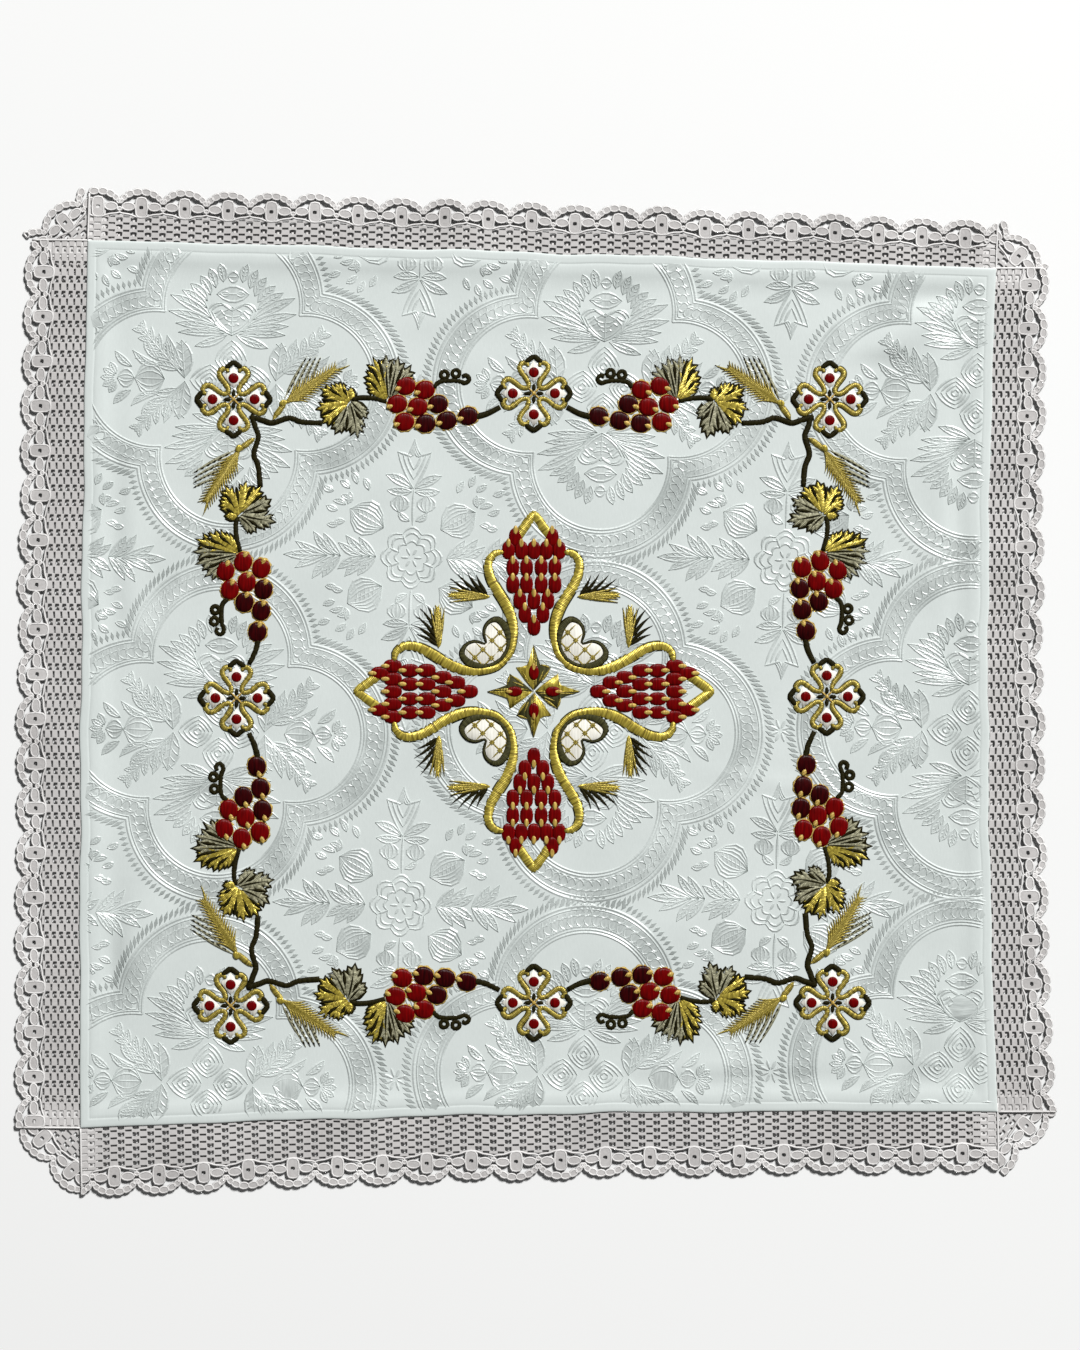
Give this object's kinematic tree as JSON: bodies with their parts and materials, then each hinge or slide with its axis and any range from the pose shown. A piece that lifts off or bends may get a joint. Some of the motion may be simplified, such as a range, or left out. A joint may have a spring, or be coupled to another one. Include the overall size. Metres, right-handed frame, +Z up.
{
  "type": "altar cover",
  "caption": "Square white brocade altar cover laid flat, with a scalloped lace edging, a grapevine border and a central cross in raised gold and red embroidery.",
  "frame": {"origin": "middle of the cover's outline, on the surface it lies on", "axes": "+Z up out of the face, +X along the longer way across, +Y towards the edge at the top of the picture"},
  "size_m": [0.7066, 0.685, 0.0043],
  "materials": {
    "white_brocade": "satin",
    "white_lace": "matte",
    "gold_thread": "satin",
    "olive_thread": "satin",
    "scarlet_thread": "satin",
    "claret_thread": "satin"
  },
  "bodies": {
    "root": {"brocade_panel": "white_brocade", "cross_drops_down": "scarlet_thread", "cross_drops_left": "scarlet_thread", "cross_drops_right": "scarlet_thread", "cross_drops_up": "scarlet_thread", "cross_field_1": "olive_thread", "cross_field_2": "olive_thread", "cross_field_3": "olive_thread", "cross_field_4": "olive_thread", "cross_scroll_1": "gold_thread", "cross_scroll_2": "gold_thread", "cross_scroll_3": "gold_thread", "cross_scroll_4": "gold_thread", "cross_star": "gold_thread", "grapes_bottom_left_to_bottom": "claret_thread", "grapes_bottom_left_to_left": "claret_thread", "grapes_bottom_right_to_bottom": "claret_thread", "grapes_bottom_right_to_right": "claret_thread", "grapes_top_left_to_left": "claret_thread", "grapes_top_left_to_top": "claret_thread", "grapes_top_right_to_right": "claret_thread", "grapes_top_right_to_top": "claret_thread", "lace_edging": "white_lace", "roundel_bottom": "gold_thread", "roundel_bottom_left": "gold_thread", "roundel_bottom_right": "gold_thread", "roundel_left": "gold_thread", "roundel_right": "gold_thread", "roundel_top": "gold_thread", "roundel_top_left": "gold_thread", "roundel_top_right": "gold_thread", "vine_bottom_left_to_bottom": "gold_thread", "vine_bottom_left_to_left": "gold_thread", "vine_bottom_right_to_bottom": "gold_thread", "vine_bottom_right_to_right": "gold_thread", "vine_top_left_to_left": "gold_thread", "vine_top_left_to_top": "gold_thread", "vine_top_right_to_right": "gold_thread", "vine_top_right_to_top": "gold_thread"}
  },
  "joints": []
}
